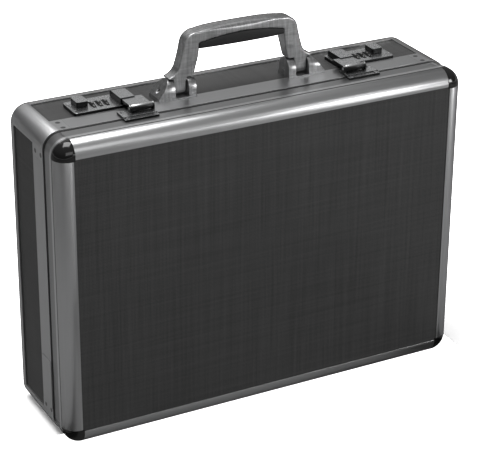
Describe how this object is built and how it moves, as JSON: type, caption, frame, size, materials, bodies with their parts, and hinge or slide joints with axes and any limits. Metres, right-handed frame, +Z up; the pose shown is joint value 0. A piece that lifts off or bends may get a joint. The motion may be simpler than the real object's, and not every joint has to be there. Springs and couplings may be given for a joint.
{
  "type": "attache briefcase",
  "caption": "Hard attache case with an aluminium edge frame, dark laminate panels, combination locks with lifting hasps, lid stays and a swinging handle.",
  "frame": {"origin": "centre of the underside that the closed case stands on", "axes": "+X along the width, to the right seen from the lid; +Y from the lid to the base half; +Z up from the hinge side to the handle"},
  "size_m": [0.4516, 0.122, 0.3945],
  "materials": {
    "aluminium_frame": "satin brushed, anodised",
    "laminate_panel": "dark grey laminate with a fine woven texture over board",
    "ball_black": "polished black moulding",
    "lock_chrome": "black nickel plate",
    "dial_black": "black moulding with notched rim",
    "handle_metal": "satin gunmetal lacquer on a die casting",
    "bracket_metal": "satin metal lacquer on a die casting",
    "grip_black": "soft matt black",
    "lining_fabric": "fine black nap",
    "pocket_fabric": "black woven cloth with a bound edge",
    "steel": "plated"
  },
  "bodies": {
    "base": {"base_corners": "aluminium_frame", "base_edge_bottom": "aluminium_frame", "base_edge_left": "aluminium_frame", "base_edge_right": "aluminium_frame", "base_edge_top": "aluminium_frame", "base_hinge_leaf": "steel", "base_lining": "lining_fabric", "base_panel": "laminate_panel", "base_rivets": "steel", "dial_axles": "steel", "handle_backing_plates": "steel", "handle_bracket_left": "bracket_metal", "handle_bracket_right": "bracket_metal", "handle_pins": "steel", "handle_screws": "steel", "hinge_pin": "steel", "lock_cases": "steel", "lock_plate_left": "lock_chrome", "lock_plate_right": "lock_chrome", "lock_screws": "steel", "rear_frame_bottom": "aluminium_frame", "rear_frame_left": "aluminium_frame", "rear_frame_right": "aluminium_frame", "rear_frame_top": "aluminium_frame", "stay_plates": "aluminium_frame", "stay_studs": "steel", "wall_bottom": "laminate_panel", "wall_left": "laminate_panel", "wall_right": "laminate_panel", "wall_top": "laminate_panel"},
    "lid": {"lid_panel": "laminate_panel", "lid_frame_top": "aluminium_frame", "lid_frame_bottom": "aluminium_frame", "lid_frame_left": "aluminium_frame", "lid_frame_right": "aluminium_frame", "lid_strip_corners": "aluminium_frame", "lid_ball_corners": "ball_black", "lid_lining": "lining_fabric", "lid_organizer": "pocket_fabric", "lid_hinge_leaf": "steel", "hasp_carrier_left": "lock_chrome", "hasp_carrier_right": "lock_chrome", "hasp_pins": "steel", "stay_pivots": "steel", "carrier_rivets": "steel"},
    "slider_left": {"slider_left": "lock_chrome"},
    "hasp_left": {"hasp_left": "lock_chrome"},
    "stay_left": {"stay_arm_left": "steel"},
    "dial_1_left": {"dial_1_left": "dial_black"},
    "dial_2_left": {"dial_2_left": "dial_black"},
    "dial_3_left": {"dial_3_left": "dial_black"},
    "slider_right": {"slider_right": "lock_chrome"},
    "hasp_right": {"hasp_right": "lock_chrome"},
    "stay_right": {"stay_arm_right": "steel"},
    "dial_1_right": {"dial_1_right": "dial_black"},
    "dial_2_right": {"dial_2_right": "dial_black"},
    "dial_3_right": {"dial_3_right": "dial_black"},
    "handle": {"handle_shell": "handle_metal", "handle_grip": "grip_black"}
  },
  "joints": [
    {"name": "lid_hinge", "type": "hinge", "parent": "base", "child": "lid", "pos_m": [0, -0.0235, 0.0024], "axis": [1, 0, 0], "range_deg": [0, 95]},
    {"name": "handle_pivot", "type": "hinge", "parent": "base", "child": "handle", "pos_m": [0, 0.008, 0.335], "axis": [1, 0, 0], "range_deg": [-80, 80]},
    {"name": "slider_left_slide", "type": "slide", "parent": "base", "child": "slider_left", "axis": [-1, 0, 0], "range_m": [0, 0.005], "stiffness_N_per_m": 200, "springref_m": -0.004},
    {"name": "hasp_left_pivot", "type": "hinge", "parent": "lid", "child": "hasp_left", "pos_m": [-0.119, -0.0175, 0.3334], "axis": [1, 0, 0], "range_deg": [0, 85]},
    {"name": "stay_left_pivot", "type": "hinge", "parent": "lid", "child": "stay_left", "pos_m": [-0.2145, -0.0392, 0.0413], "axis": [1, 0, 0], "range_deg": [-47.5, 0]},
    {"name": "dial_1_left_turn", "type": "hinge", "parent": "base", "child": "dial_1_left", "pos_m": [-0.1415, 0.017, 0.3232], "axis": [1, 0, 0], "continuous": true},
    {"name": "dial_2_left_turn", "type": "hinge", "parent": "base", "child": "dial_2_left", "pos_m": [-0.1485, 0.017, 0.3232], "axis": [1, 0, 0], "continuous": true},
    {"name": "dial_3_left_turn", "type": "hinge", "parent": "base", "child": "dial_3_left", "pos_m": [-0.1555, 0.017, 0.3232], "axis": [1, 0, 0], "continuous": true},
    {"name": "slider_right_slide", "type": "slide", "parent": "base", "child": "slider_right", "axis": [1, 0, 0], "range_m": [0, 0.005], "stiffness_N_per_m": 200, "springref_m": -0.004},
    {"name": "hasp_right_pivot", "type": "hinge", "parent": "lid", "child": "hasp_right", "pos_m": [0.119, -0.0175, 0.3334], "axis": [1, 0, 0], "range_deg": [0, 85]},
    {"name": "stay_right_pivot", "type": "hinge", "parent": "lid", "child": "stay_right", "pos_m": [0.2145, -0.0392, 0.0413], "axis": [1, 0, 0], "range_deg": [-47.5, 0]},
    {"name": "dial_1_right_turn", "type": "hinge", "parent": "base", "child": "dial_1_right", "pos_m": [0.1415, 0.017, 0.3232], "axis": [1, 0, 0], "continuous": true},
    {"name": "dial_2_right_turn", "type": "hinge", "parent": "base", "child": "dial_2_right", "pos_m": [0.1485, 0.017, 0.3232], "axis": [1, 0, 0], "continuous": true},
    {"name": "dial_3_right_turn", "type": "hinge", "parent": "base", "child": "dial_3_right", "pos_m": [0.1555, 0.017, 0.3232], "axis": [1, 0, 0], "continuous": true}
  ],
  "couplings": [
    {"joint": "stay_left_pivot", "follows": "lid_hinge", "ratio": -0.5},
    {"joint": "stay_right_pivot", "follows": "lid_hinge", "ratio": -0.5}
  ]
}
